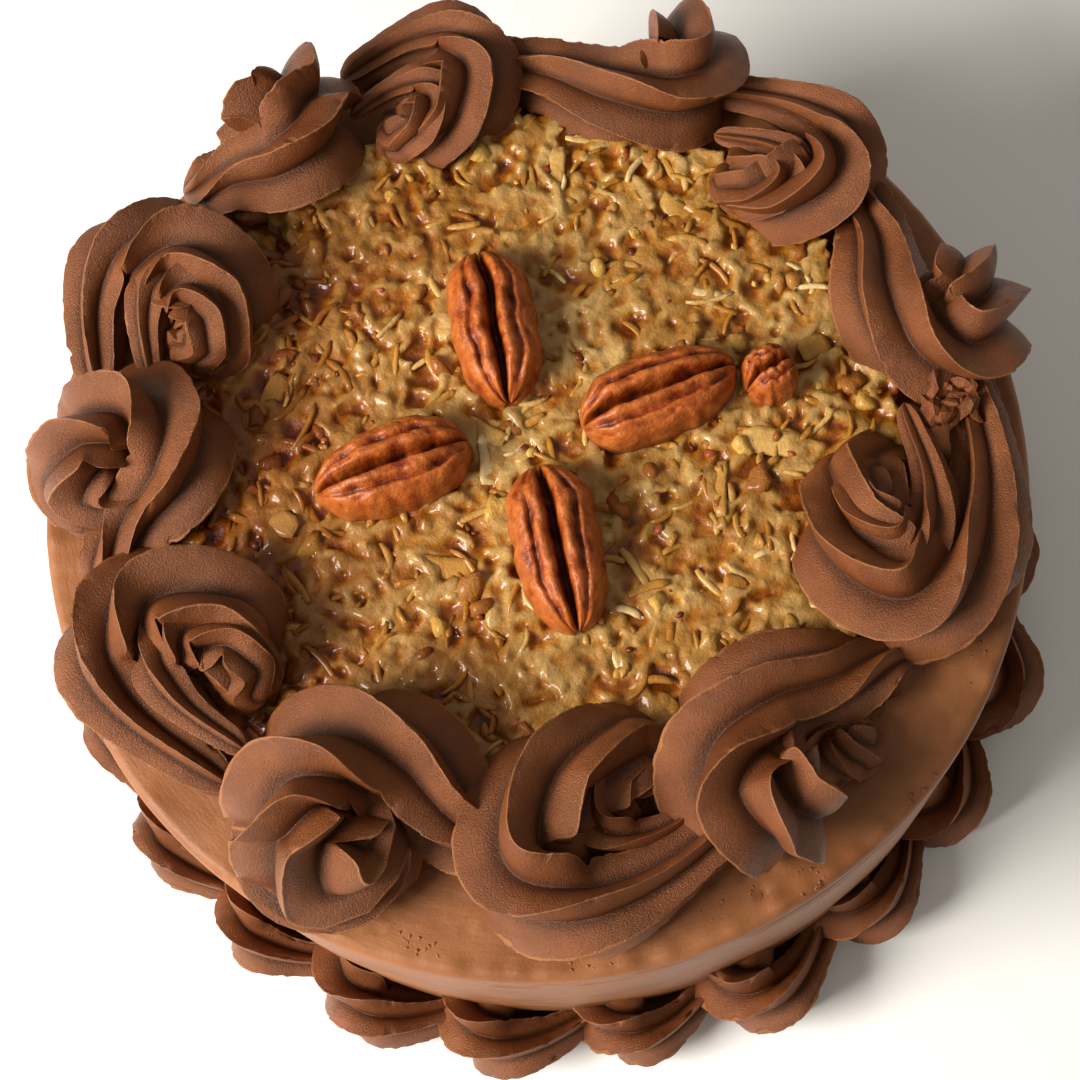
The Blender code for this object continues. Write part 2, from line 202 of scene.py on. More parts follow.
# Path of one swirl in mm and degrees, as the nozzle went: round a loop, then off along
# the ring; outerTail leaves by the outside of the ring and innerTail by the inside
outerTail = {
    "side": 1,
    "along": (-0.9, -4.0, -11.9, -17.9, -15.0, -7.5, 7.0, 26.9),
    "across": (8.5, 11.2, 9.3, -0.3, -8.2, -12.7, -9.2, 0.7),
    "tube": (13.7, 12.5, 14.3, 15.4, 14.0, 10.8, 7.0, 4.7),
    "wind": (284, 331, 383, 421, 463, 511, 520, 531),
    "lean": (-2, 36, 68, 83, 81, 81, 81, 80),
    "up": (-0.1, 6.4, 9.7, 10.3, 10.1, 9.3, 7.0, 3.9),
}
innerTail = {
    "side": -1,
    "along": (-4.7, -6.2, -12.4, -18.0, -14.0, -3.7, 9.1, 21.8),
    "across": (4.1, 5.8, 3.9, -2.3, -9.6, -12.2, -7.6, -2.2),
    "tube": (14.0, 13.8, 14.0, 15.2, 14.6, 12.2, 8.5, 4.7),
    "wind": (259, 300, 367, 433, 482, 515, 516, 448),
    "lean": (-11, 26, 64, 80, 79, 81, 81, 78),
    "up": (6.0, 10.1, 11.7, 11.1, 10.6, 9.6, 6.5, 3.3),
}

# Angle, radius of the eye, path, size, turn, stretch, star turn, star wind, reach and
# swing of the tail, start ahead and inward, fatness, foot, share left out at the start
swirls = (
    (273, 78.0, outerTail, 1.06, 2, 1.11, -10, -70, -1.3, -1.3, 5.5, 1.1, 0.94, -0.8, 0),
    (303, 84.4, innerTail, 1.02, -8, 0.98, 1, 1, 4.0, -1.0, -6.1, -2.4, 1.09, 3.1, 0.16),
    (343, 78.5, outerTail, 1.06, -3, 1.16, -5, -16, 4.6, -6.3, 2.7, -3.4, 0.92, 1.0, 0),
    (15, 95.3, innerTail, 0.97, -1, 1.06, -18, 33, 4.5, 2.6, -0.9, -4.0, 0.97, -4.3, 0.14),
    (42, 91.7, outerTail, 0.87, -12, 0.86, -8, -24, 1.9, -1.1, -2.4, -2.6, 0.95, 0.6, 0),
    (69, 96.9, innerTail, 0.97, 5, 1.09, 19, 15, 4.6, 6.4, 0.0, -8.3, 0.97, -2.0, 0.27),
    (94, 95.3, outerTail, 0.84, -18, 0.84, 30, -50, -1.8, -4.4, -2.5, 1.0, 0.91, 1.6, 0),
    (119, 102.3, innerTail, 1.04, -4, 0.72, 17, -18, -2.0, 2.4, -11.2, -12.4, 1.02, -5.8, 0.3),
    (145, 88.6, outerTail, 0.97, -4, 0.76, 10, 0, -0.4, -5.4, -3.1, -0.4, 1.03, 1.3, 0),
    (172, 88.9, innerTail, 1.03, -14, 0.86, 19, -53, -2.4, 4.8, -1.3, -1.1, 0.99, -0.1, 0),
    (203, 83.0, outerTail, 1.07, -9, 0.91, 22, -28, -5.5, -2.5, 1.2, -3.4, 0.99, -5.5, 0),
    (239, 83.9, innerTail, 1.14, -6, 0.82, -8, 26, 3.5, -0.6, -7.5, -0.8, 1.05, 2.4, 0),
)

# Share of the way from a crest to the next valley, closer near both
finSteps = (0.0, 0.025, 0.07, 0.15, 0.27, 0.42, 0.58, 0.74, 0.87, 0.955)


def carry(values, places):
    # Smooth curve through the knot values
    values = np.array(values, float)
    slopes = np.gradient(values, knots)
    slopes[1:-1] = (values[2:] - values[:-2]) / (knots[2:] - knots[:-2])
    span = np.clip(np.searchsorted(knots, places, side="right") - 1, 0, len(knots) - 2)
    width = knots[span + 1] - knots[span]
    step = (places - knots[span]) / width
    return ((2 * step ** 3 - 3 * step ** 2 + 1) * values[span]
            + (3 * step ** 2 - 2 * step ** 3) * values[span + 1]
            + (step ** 3 - 2 * step ** 2 + step) * width * slopes[span]
            + (step ** 3 - step ** 2) * width * slopes[span + 1])


def roughLine(count, length, wave, seed):
    # One dimensional noise along the rope for each fin, between -1 and 1
    source = np.random.RandomState(seed)
    steps = max(int(length / wave), 2)
    values = source.uniform(-1, 1, (steps + 1, count))
    place = np.linspace(0, steps - 1e-6, pipedIcing["stations"])
    low = place.astype(int)
    share = smoothStep(place - low)[:, None]
    return values[low] * (1 - share) + values[low + 1] * share


def ropeRings(row, stations, floor, seed, rough=1.0):
    # Rings of the star section along one swirl, and for each point a mark of painted light:
    # painted highlight near a crest, painted shade towards a valley
    settings = pipedIcing
    angle, radius, path, size, turn, stretch, star, wind = row[:8]
    reach, swing, ahead, inward, fat, foot, begin = row[8:]
    places = np.linspace(begin, 1, stations)
    tail = smoothStep((places - 0.45) / 0.55)
    start = smoothStep(1 - places / 0.5)
    along = carry(path["along"], places) * stretch + reach * tail + ahead * start
    across = carry(path["across"], places) + swing * tail + inward * start
    up = carry(path["up"], places)
    tube = carry(path["tube"], places) * fat
    tube += foot * np.clip(1 - places / 0.28, 0, 1) ** 2
    if begin:
        tube *= np.sqrt(1 - np.clip(1 - (places - begin) / 0.09, 0, 1) ** 2) + 0.02
    tube *= np.sqrt(1 - np.clip((places - 0.95) / 0.05, 0, 1) ** 2) + 0.02
    spin = np.radians(carry(path["wind"], places) + star + wind * (places - 0.4))
    lean = np.radians(carry(path["lean"], places))
    run = np.gradient(along, places)
    rise = np.gradient(across, places)
    heading = np.unwrap(np.arctan2(rise, run))
    bend = np.hypot(run, rise) / np.maximum(np.gradient(heading, places), 0.001)
    room = (0.9 * np.clip(bend, 6, 200))[:, None]
    forward = np.stack([np.cos(heading), np.sin(heading), 0 * heading], -1)
    rightward = np.stack([np.sin(heading), -np.cos(heading), 0 * heading], -1)
    upright = np.array([0.0, 0.0, 1.0])
    face = -np.cos(lean)[:, None] * forward + np.sin(lean)[:, None] * upright

    fins = settings["fins"]
    step = 2 * math.pi / fins
    half = np.array(finSteps)
    part = np.concatenate([half, [1.0], half[:0:-1]])
    second = np.arange(len(part)) > len(half)
    part = np.tile(part, fins)
    second = np.tile(second, fins)
    whole = np.repeat(np.arange(fins), len(part) // fins)
    hollow = settings["valley"] + (settings["footValley"] - settings["valley"]) \
        * smoothStep(1 - places / settings["footReach"])
    creaseX = (hollow * math.cos(step / 2))[:, None]
    creaseY = (hollow * math.sin(step / 2))[:, None]
    puff = settings["bulge"] * np.sin(math.pi * part)
    flankX = 1 + (creaseX - 1) * part + puff * math.cos(1.0)
    flankY = creaseY * part + puff * math.sin(1.0)
    reachOut = np.hypot(flankX, flankY) * tube[:, None]
    side = np.arctan2(flankY, flankX)
    side = np.where(second, step - side, side)
    # painted highlight share, strongest right on the crest
    paintedRidgeLight = np.clip(1 - part / 0.07, 0, 1)
    length = settings["ropeLength"] * size
    wear = roughLine(fins, length, 0.9, seed) + 1.2 * roughLine(fins, length, 7.0, seed + 1)
    torn = np.maximum(roughLine(fins, length, 2.2, seed + 2) - 0.75, 0) / 0.25
    if stations != settings["stations"]:
        pick = np.linspace(0, settings["stations"] - 1, stations).astype(int)
        wear = wear[pick]
        torn = torn[pick]
    soft = np.clip(1 - part / 0.3, 0, 1)
    reachOut += soft * (wear[:, whole] * settings["ragged"] - torn[:, whole] * settings["tear"]) \
        / mm * min(size, 1) * rough
    around = whole * step + side - spin[:, None]
    lift = (reachOut * np.cos(around))[..., None]
    slide = reachOut * np.sin(around)
    slide = np.where(slide < 0, room * np.tanh(slide / room), slide)[..., None]
    middle = np.stack([along, across, up], -1)[:, None]
    local = (middle + lift * face[:, None] + slide * rightward[:, None]) * size
    local[..., 1] *= path["side"]

    bearing = math.radians(angle)
    way = bearing + math.pi / 2 + math.radians(turn)
    aheadAxis = np.array([math.cos(way), math.sin(way), 0.0])
    innerAxis = np.array([-math.sin(way), math.cos(way), 0.0])
    eye = np.array([radius * math.cos(bearing), radius * math.sin(bearing), 0.0])
    rings = eye + local[..., :1] * aheadAxis + local[..., 1:2] * innerAxis
    rings = (rings + local[..., 2:] * upright) * mm
    rings[..., 2] += floor
    depth = np.broadcast_to(part, rings.shape[:2])
    # painted highlight near the crests minus painted shade towards the valleys
    marks = np.broadcast_to(paintedRidgeLight, rings.shape[:2]) - smoothStep((depth - 0.55) / 0.45)
    return rings, marks


def pipedMaterial():
    settings = pipedIcing
    nodes = Nodes("pipedChocolateIcing", settings["colour"], settings["roughness"])
    paintedRidgeLight = nodes.attribute("paintedRidgeLight")
    patches = nodes.noise(90, 4)
    colour = nodes.mix(nodes.spread(patches, 0.35, 0.7), settings["dark"], settings["colour"])
    # painted shade in the valleys
    colour = nodes.mix(nodes.spread(paintedRidgeLight, -1.0, 0.0), settings["paintedValleyShade"], colour)
    # painted highlight along the crests
    colour = nodes.mix(nodes.spread(paintedRidgeLight, 0.15, 1.0, 0.0, 0.75), colour, settings["paintedRidgeLight"])
    nodes.wire(colour, "Base Color")
    fine = nodes.noise(2300, 3, 0.75)
    coarse = nodes.noise(300, 2, 0.5)
    smoothest = settings["roughness"] - settings["roughnessSpread"]
    roughest = settings["roughness"] + settings["roughnessSpread"]
    nodes.wire(nodes.spread(nodes.noise(900, 2), 0.3, 0.7, smoothest, roughest), "Roughness")
    lumps = nodes.bump(coarse, 0.0005, 0.25)
    nodes.wire(nodes.bump(fine, settings["grain"], 1.0, lumps), "Normal")
    nodes.shader.inputs["Specular IOR Level"].default_value = settings["specular"]
    nodes.shader.inputs["Specular Tint"].default_value = settings["shineTint"]
    return nodes.material


# Small rope nested in the middle of a loop, all zeros where there is none: ahead and
# inward of the eye in mm, share of the size, turn, height above the cake in mm
hearts = (
    (6.5, 2.0, 0.50, 0, 4.0), (7.0, -1.0, 0.44, 0, -1.0), (-0.2, 1.7, 0.56, 0, 9.0),
    (0, 0, 0, 0, 0), (-1.0, 8.0, 0.58, 0, 6.5), (0, 0, 0, 0, 0), (2.4, 8.4, 0.60, 0, 6.5),
    (0, 0, 0, 0, 0), (1.0, 6.5, 0.58, 0, 9.5), (0, 0, 0, 0, 0), (1.6, 4.0, 0.58, 0, 9.5),
    (0, 0, 0, 0, 0),
)


def heartRow(row, heart):
    ahead, inward, share, turn, lift = heart
    angle, radius, path, size = row[:4]
    bearing = math.radians(angle)
    way = bearing + math.pi / 2 + math.radians(row[4])
    x = radius * math.cos(bearing) + ahead * math.cos(way) - inward * math.sin(way)
    y = radius * math.sin(bearing) + ahead * math.sin(way) + inward * math.cos(way)
    bearing = math.degrees(math.atan2(y, x))
    turn += angle + row[4] - bearing
    return (bearing, math.hypot(x, y), path, size * share, turn, row[5], row[6], row[7],
            0, 0, 0, 0, row[12], 0, 0)


def makeSwirls(material):
    settings = pipedIcing
    bottom = icedTop - settings["sink"]
    for number, row in enumerate(swirls):
        rings, marks = ropeRings(row, settings["stations"], icedTop, 40 + 7 * number)
        reach = np.hypot(rings[..., 0], rings[..., 1])
        pastRim = np.clip((reach - settings["rimReach"]) / (2 * mm), 0, 1)
        rings[..., 2] = np.maximum(rings[..., 2], bottom + pastRim * settings["rimRise"])
        rings = [[Vector(point) for point in ring] for ring in rings]
        builder = skinRings(rings, marks)
        heart = hearts[number]
        if heart[2]:
            rings, marks = ropeRings(heartRow(row, heart), settings["heartStations"],
                                     icedTop + heart[4] * mm, 45 + 7 * number)
            rings[..., 2] = np.maximum(rings[..., 2], bottom)
            filling = skinRings([[Vector(point) for point in ring] for ring in rings], marks)
            inside = bpy.data.meshes.new("filling")
            filling.to_mesh(inside)
            filling.free()
            builder.from_mesh(inside)
            bpy.data.meshes.remove(inside)
        finishPiece(f"pipedSwirl{number + 1:02d}", builder, [material],
                    [f"top_swirl_{number + 1:02d}"])
    print("piped the swirls")


# Border of shells round the foot

footBorder = {
    "count": 22,
    "startAngle": 272,
    "radius": 104.0,
    "size": 0.76,
    "stretch": 0.82,
    "tall": 1.6,  # stretch in height
    "rough": 2.2,  # how much more ragged than the swirls
    "foot": 1.5,
    "stations": 110,
}


def makeShells(material):
    settings = footBorder
    for number in range(settings["count"]):
        angle = settings["startAngle"] + 360 / settings["count"] * number
        row = (angle, settings["radius"] + dice.uniform(-1, 1), outerTail,
               settings["size"] * dice.uniform(0.95, 1.05), dice.uniform(-5, 5),
               settings["stretch"] * dice.uniform(0.95, 1.05), dice.uniform(-25, 25),
               dice.uniform(-30, 10), dice.uniform(0, 4), dice.uniform(-2, 2), 0, 0, 1.0,
               settings["foot"], 0)
        rings, marks = ropeRings(row, settings["stations"], 0.0, 300 + 7 * number,
                                 settings["rough"])
        rings[..., 2] = np.maximum(rings[..., 2] * settings["tall"], 0.0)
        rings = [[Vector(point) for point in ring] for ring in rings]
        builder = skinRings(rings, marks)
        finishPiece(f"footShell{number + 1:02d}", builder, [material],
                    [f"foot_shell_{number + 1:02d}"])
    print("piped the foot border")


# Torn closure lumps between two swirls and crumbs of icing on the bare edge

crumbs = {
    "closure": (88, -3, 5.0, 8.0),  # middle and half widths in mm
    "closureLumps": 34,
    "clusters": 9,
    "inCluster": 7,
}


def makeCrumbs(piped, spread):
    ball = shapeTemplate(True, subdivisions=2)
    builder = bmesh.new()
    x, y, reachX, reachY = crumbs["closure"]
    for number in range(crumbs["closureLumps"]):
        size = dice.uniform(3.0, 8.5)
        where = ((x + dice.uniform(-1, 1) * reachX) * mm, (y + dice.uniform(-1, 1) * reachY) * mm,
                 icedTop + dice.uniform(8, 13) * mm)
        lump(builder, ball, (size * mm, size * 0.55 * mm, size * 0.5 * mm), where, 0)
    finishPiece("tornIcing", builder, [piped], smooth=False)
    builder = bmesh.new()
    for cluster in range(crumbs["clusters"]):
        turn = dice.uniform(math.radians(205), math.radians(345))
        out = icedRadius - dice.uniform(1.5, 8) * mm
        for number in range(crumbs["inCluster"]):
            around = turn + dice.normal(0, 0.03)
            reach = min(out + dice.normal(0, 1.2) * mm, icedRadius - 1.2 * mm)
            size = dice.uniform(0.4, 1.1)
            lump(builder, ball, (size * mm, size * 0.7 * mm, size * 0.5 * mm),
                 (reach * math.cos(around), reach * math.sin(around), icedTop - 0.1 * mm), 0)
    finishPiece("icingCrumbs", builder, [spread])
    print("dropped the crumbs")


# Iced body with spatula marks

spreadIcing = {
    "colour": (0.290, 0.110, 0.038),
    "dark": (0.200, 0.068, 0.021),
    "roughness": 0.51,
    "roughnessSpread": 0.09,
    "sides": 480,
    "rimRound": 2.4 * mm,
    "fineBand": 16 * mm,  # part of the side under the rim with closer rings
    "groove": 0.35 * mm,
    "wave": 0.5 * mm,
    "lines": ((4.2 * mm, 21), (8.0 * mm, 33), (12.5 * mm, 45)),  # depth under the top, seed
    "lineDrift": 1.2 * mm,
    "lineDepth": 0.8 * mm,
    "lineWidth": 0.45 * mm,
    "rimTatter": 0.8 * mm,
    "topWave": 0.25 * mm,
    "pitDepth": 1.2 * mm,
}


def bodyPoint(turn, radius, height):
    # Move a point of the plain body by spatula grooves, waves, a ragged rim and pits
    settings = spreadIcing
    place = Vector((math.cos(turn), math.sin(turn), 0))
    onSide = height < icedTop - settings["rimRound"]
    outward = settings["wave"] * noise.noise(Vector((place.x * 2, place.y * 2, height * 14)))
    grooves = noise.noise(Vector((place.x * 2.2, place.y * 2.2, height * 420)))
    outward += settings["groove"] * grooves * (1 if onSide else 0.5)
    if height < 1 * mm:
        outward = 0
    for depth, seed in settings["lines"]:
        drift = noise.noise(Vector((place.x * 3, place.y * 3, seed)))
        line = icedTop - depth + settings["lineDrift"] * drift
        broken = noise.noise(Vector((place.x * 9, place.y * 9, seed + 5)))
        outward -= settings["lineDepth"] * max(0, min(1, 0.4 + 3 * broken)) \
            * math.exp(-((height - line) / settings["lineWidth"]) ** 2)
    upward = 0
    if not onSide:
        rim = max(0, 1 - abs(radius - icedRadius + 2 * mm) / (4 * mm))
        tatter = noise.noise(Vector((place.x * 26, place.y * 26, 3)))
        upward = rim * settings["rimTatter"] * tatter
        ripple = noise.noise(Vector((place.x * radius * 60, place.y * radius * 60, 9)))
        upward += settings["topWave"] * ripple
        pit = noise.noise(Vector((place.x * radius * 420, place.y * radius * 420, 5)))
        gate = noise.noise(Vector((place.x * radius * 90, place.y * radius * 90, 7)))
        upward -= settings["pitDepth"] * max(0, pit - 0.35) * max(0, gate + 0.15) * 4
    radius += outward
    return Vector((place.x * radius, place.y * radius, max(height + upward, 0)))


def bodyProfile():
    # Radius and height from the underside over the side and the rim to the top's middle
    rim = spreadIcing["rimRound"]
    band = spreadIcing["fineBand"]
    profile = [(icedRadius - 25 * mm, 0.0), (icedRadius - 4 * mm, 0.0), (icedRadius, 0.0)]
    for number in range(1, 56):
        profile.append((icedRadius, (icedTop - band) * number / 55))
    for number in range(1, 37):
        profile.append((icedRadius, icedTop - band + (band - rim) * number / 36))
    for number in range(1, 11):
        turn = math.pi / 2 * number / 10
        profile.append((icedRadius - rim + rim * math.cos(turn),
                        icedTop - rim + rim * math.sin(turn)))
    for number in range(1, 31):
        profile.append((icedRadius - rim - 1.1 * mm * number, icedTop))
    return profile


def spreadMaterial():
    # Streaks run round the side and the top: the noise reads the direction from the middle
    # and one climb that goes down the side and out over the top
    settings = spreadIcing
    nodes = Nodes("spreadChocolateIcing", settings["colour"], settings["roughness"])
    flat = nodes.add("ShaderNodeVectorMath", {"operation": "MULTIPLY"}, Vector=nodes.place)
    flat.inputs[1].default_value = (1, 1, 0)
    away = nodes.add("ShaderNodeVectorMath", {"operation": "LENGTH"}, Vector=flat.outputs[0])
    unit = nodes.add("ShaderNodeVectorMath", {"operation": "NORMALIZE"}, Vector=flat.outputs[0])
    split = nodes.add("ShaderNodeSeparateXYZ", Vector=nodes.place)
    climb = nodes.add("ShaderNodeMath", {"operation": "SUBTRACT"})
    nodes.tree.links.new(away.outputs["Value"], climb.inputs[0])
    nodes.tree.links.new(split.outputs["Z"], climb.inputs[1])
    across = nodes.add("ShaderNodeSeparateXYZ", Vector=unit.outputs[0])
    along = nodes.add("ShaderNodeCombineXYZ", X=across.outputs["X"], Y=across.outputs["Y"],
                      Z=climb.outputs[0])
    stroke = nodes.add("ShaderNodeMapping", Vector=along.outputs[0], Scale=(4, 4, 210))
    streaks = nodes.add("ShaderNodeTexNoise", Vector=stroke.outputs[0], Scale=1.0, Detail=4.0,
                        Roughness=0.65).outputs["Fac"]
    patches = nodes.noise(60, 4, 0.6)
    colour = nodes.mix(nodes.spread(patches, 0.3, 0.7), settings["dark"], settings["colour"])
    colour = nodes.mix(nodes.spread(streaks, 0.30, 0.55, 0.28, 0.0), colour, settings["dark"])
    nodes.wire(colour, "Base Color")
    smoothest = settings["roughness"] - settings["roughnessSpread"]
    roughest = settings["roughness"] + settings["roughnessSpread"]
    nodes.wire(nodes.spread(patches, 0.3, 0.7, smoothest, roughest), "Roughness")
    lines = nodes.bump(streaks, 0.0010, 0.35)
    nodes.wire(nodes.bump(nodes.noise(1500, 3, 0.65), 0.00018, 0.55, lines), "Normal")
    nodes.shader.inputs["Specular IOR Level"].default_value = 0.3
    return nodes.material


def makeBody(material):
    turns = np.linspace(0, 2 * math.pi, spreadIcing["sides"], endpoint=False)
    rings = [[bodyPoint(turn, radius, height) for turn in turns]
             for radius, height in bodyProfile()]
    builder = skinRings(rings, mark="wear")
    finishPiece("icedBody", builder, [material], ["iced_cake"])
    print("spread the icing")


# Coconut pecan topping

custard = {
    "radius": 82.5 * mm,
    "shift": 5 * mm,  # towards the back, so that the swirls cover its edge all round
    "thickness": 4.6 * mm,
    "sides": 180,
    "ringCount": 60,
    "coated": 3700,
    "coatedReach": 80 * mm,
    "looseReach": 77 * mm,
    "grain": 0.68 * mm,
    "shreds": 330,
    "flakes": 26,
    "nuts": 230,
    "skins": 130,
}


def toppingHeight(x, y):
    low = noise.noise(Vector((x, y, 0)) * 60)
    high = noise.noise(Vector((x, y, 1)) * 170)
    return icedTop + custard["thickness"] + 0.9 * mm * low + 0.5 * mm * high


def shapeTemplate(ball, sides=8, cuts=4, subdivisions=1):
    # A plain unit ball or a unit rod along Z, reshaped for every bit that is laid
    builder = bmesh.new()
    builder.verts.layers.float.new("shade")
    if ball:
        bmesh.ops.create_icosphere(builder, subdivisions=subdivisions, radius=0.5)
    else:
        bmesh.ops.create_cone(builder, cap_ends=True, segments=sides, radius1=0.5,
                              radius2=0.5, depth=1.0)
        edges = [edge for edge in builder.edges
                 if abs(edge.verts[0].co.z - edge.verts[1].co.z) > 0.5]
        bmesh.ops.subdivide_edges(builder, edges=edges, cuts=cuts)
    mesh = bpy.data.meshes.new("template")
    builder.to_mesh(mesh)
    builder.free()
    plain = np.empty(len(mesh.vertices) * 3)
    mesh.vertices.foreach_get("co", plain)
    return mesh, plain.reshape(-1, 3)


def lay(builder, template, shape, where, turns, shade):
    # Turn the shape about X, Y and Z, move it into place and add it to the builder
    mesh = template[0]
    roll, tilt, turn = turns
    spin = Matrix.Rotation(turn, 3, "Z") @ Matrix.Rotation(tilt, 3, "Y") \
        @ Matrix.Rotation(roll, 3, "X")
    mesh.vertices.foreach_set("co", (shape @ np.array(spin).T + np.array(where)).ravel())
    mesh.attributes["shade"].data.foreach_set("value", [shade] * len(shape))
    builder.from_mesh(mesh)


def strand(builder, template, length, width, thick, curl, where, turns, shade):
    # A flattened strip bent along its length, laid on the topping
    plain = template[1]
    place = plain[:, 2]
    taper = 1 - 0.35 * np.abs(2 * place) ** 6
    bent = np.stack([place * length,
                     plain[:, 0] * width * taper + curl * length * (place ** 2 - 0.08),
                     plain[:, 1] * thick * taper], -1)
    lay(builder, template, bent, where, turns, shade)


def lump(builder, template, size, where, shade):
    plain = template[1]
    waves = dice.uniform(-4, 4, (3, 3))
    bumpy = 1 + 0.20 * np.sin(plain @ waves * 2.4 + dice.uniform(0, 6, 3)).sum(1)
    lay(builder, template, plain * np.array(size) * bumpy[:, None], where,
        (dice.uniform(-0.5, 0.5), dice.uniform(-0.5, 0.5), dice.uniform(0, 6.28)), shade)


def somewhere(reach):
    turn = dice.uniform(0, 2 * math.pi)
    out = reach * math.sqrt(dice.uniform(0, 1))
    return out * math.cos(turn), out * math.sin(turn) + custard["shift"]


def custardDisc():
    # Plain disc with a rounded edge and a softly uneven top
    settings = custard
    turns = np.linspace(0, 2 * math.pi, settings["sides"], endpoint=False)
    rings = []
    for radius, height in ((settings["radius"], icedTop - 0.2 * mm),
                           (settings["radius"] - 0.6 * mm, icedTop + 2.5 * mm)):
        rings.append([Vector((radius * math.cos(turn),
                              radius * math.sin(turn) + settings["shift"], height))
                      for turn in turns])
    for radius in np.linspace(settings["radius"] - 2 * mm, 1 * mm, settings["ringCount"]):
        ring = []
        for turn in turns:
            x = radius * math.cos(turn)
            y = radius * math.sin(turn) + settings["shift"]
            edge = smoothStep((settings["radius"] - radius) / (6 * mm))
            ring.append(Vector((x, y, icedTop + 3 * mm
                                + (toppingHeight(x, y) - icedTop - 3 * mm) * edge)))
        rings.append(ring)
    return skinRings(rings, mark="shade")


def coatDisc(builder, softRod, fineBall):
    # Strands and lumps that the custard covers, before they are evened into one skin
    for number in range(custard["coated"]):
        x, y = somewhere(custard["coatedReach"])
        where = (x, y, toppingHeight(x, y) + dice.uniform(-0.6, 1.1) * mm)
        if dice.uniform() < 0.55:
            strand(builder, softRod, dice.uniform(4, 11) * mm, dice.uniform(1.5, 2.8) * mm,
                   dice.uniform(1.4, 2.2) * mm, dice.uniform(-0.7, 0.7), where,
                   (dice.uniform(-0.6, 0.6), dice.uniform(-0.2, 0.2),
                    dice.uniform(0, 6.28)), 0)
        else:
            size = dice.uniform(1.8, 4.6)
            lump(builder, fineBall, (size * mm, size * 0.8 * mm, size * 0.6 * mm), where, 0)


def evenSkin(base):
    # Remesh the piece, cut it level on the icing and keep each point's height over the mean
    even = base.modifiers.new("even", "REMESH")
    even.mode = "VOXEL"
    even.voxel_size = custard["grain"]
    even.use_smooth_shade = True
    soften = base.modifiers.new("soften", "SMOOTH")
    soften.factor = 0.5
    soften.iterations = 1
    graph = bpy.context.evaluated_depsgraph_get()
    graph.update()
    evened = bpy.data.meshes.new_from_object(base.evaluated_get(graph))
    base.modifiers.clear()
    builder = bmesh.new()
    builder.from_mesh(evened)
    bmesh.ops.bisect_plane(builder, geom=[*builder.verts, *builder.edges, *builder.faces],
                           plane_co=(0, 0, icedTop + 0.3 * mm), plane_no=(0, 0, 1),
                           clear_inner=True)
    bmesh.ops.holes_fill(builder, edges=builder.edges, sides=0)
    builder.to_mesh(evened)
    builder.free()
    rough = base.data
    base.data = evened
    evened.name = base.name
    bpy.data.meshes.remove(rough)
    lift = evened.attributes.new("lift", "FLOAT", "POINT")
    points = np.empty(len(evened.vertices) * 3)
    evened.vertices.foreach_get("co", points)
    points = points.reshape(-1, 3)
    smooth = np.array([toppingHeight(x, y) for x, y, z in points])
    lift.data.foreach_set("value", (points[:, 2] - smooth) / mm)
    evened.polygons.foreach_set("use_smooth", [True] * len(evened.polygons))
    evened.materials.append(custardMaterial())
    print("laid the custard:", len(evened.polygons), "faces")


def scatterBits(softRod, wideRod, ball, fineBall):
    # Loose coconut, nuts and skins, one joined mesh for each kind
    kinds = (("coconutShreds", custard["shreds"], coconutMaterial()),
             ("coconutFlakes", custard["flakes"], coconutMaterial()),
             ("choppedNuts", custard["nuts"], nutMaterial()),
             ("pecanSkins", custard["skins"], skinMaterial()))
    for name, count, material in kinds:
        builder = bmesh.new()
        for number in range(count):
            x, y = somewhere(custard["looseReach"])
            height = toppingHeight(x, y)
            turn = dice.uniform(0, 6.28)
            shade = dice.uniform(0, 1)
            if name == "coconutShreds":
                strand(builder, softRod, dice.uniform(4, 12) * mm, dice.uniform(1.1, 2.1) * mm,
                       dice.uniform(0.8, 1.3) * mm, dice.uniform(-0.8, 0.8),
                       (x, y, height + dice.uniform(0.5, 1.3) * mm),
                       (dice.uniform(-0.6, 0.6), dice.uniform(-0.2, 0.2), turn), shade)
            elif name == "coconutFlakes":
                strand(builder, wideRod, dice.uniform(6, 14) * mm, dice.uniform(3, 6.5) * mm,
                       0.8 * mm, dice.uniform(-0.5, 0.5),
                       (x, y, height + dice.uniform(0.7, 1.5) * mm),
                       (dice.uniform(-0.4, 0.4), dice.uniform(-0.2, 0.2), turn), shade)
            elif name == "choppedNuts":
                size = 1.6 + 5.4 * dice.uniform() ** 2
                lump(builder, fineBall, (size * mm, size * 0.75 * mm, size * 0.6 * mm),
                     (x, y, height + dice.uniform(0.2, 1.2) * mm), shade)
            else:
                size = 1.2 + 3.6 * dice.uniform() ** 2
                lump(builder, ball, (size * mm, size * 0.6 * mm, size * 0.4 * mm),
                     (x, y, height + dice.uniform(0.5, 1.3) * mm), shade)
        bmesh.ops.recalc_face_normals(builder, faces=builder.faces)
        finishPiece(name, builder, [material])
    print("scattered the coconut and nuts")


def makeTopping():
    softRod = shapeTemplate(False)
    wideRod = shapeTemplate(False, 10, 5)
    ball = shapeTemplate(True)
    fineBall = shapeTemplate(True, subdivisions=2)
    builder = custardDisc()
    coatDisc(builder, softRod, fineBall)
    base = finishPiece("custardBase", builder, [],
                       ["coconut_pecan_topping"])
    evenSkin(base)
    scatterBits(softRod, wideRod, ball, fineBall)


def glossy(nodes, coat, subsurface, reach):
    shader = nodes.shader
    shader.inputs["Specular IOR Level"].default_value = 0.18
    shader.inputs["Coat Weight"].default_value = coat
    shader.inputs["Coat Roughness"].default_value = 0.10
    shader.inputs["Subsurface Weight"].default_value = subsurface
    shader.inputs["Subsurface Radius"].default_value = reach
    shader.inputs["Subsurface Scale"].default_value = 1.0


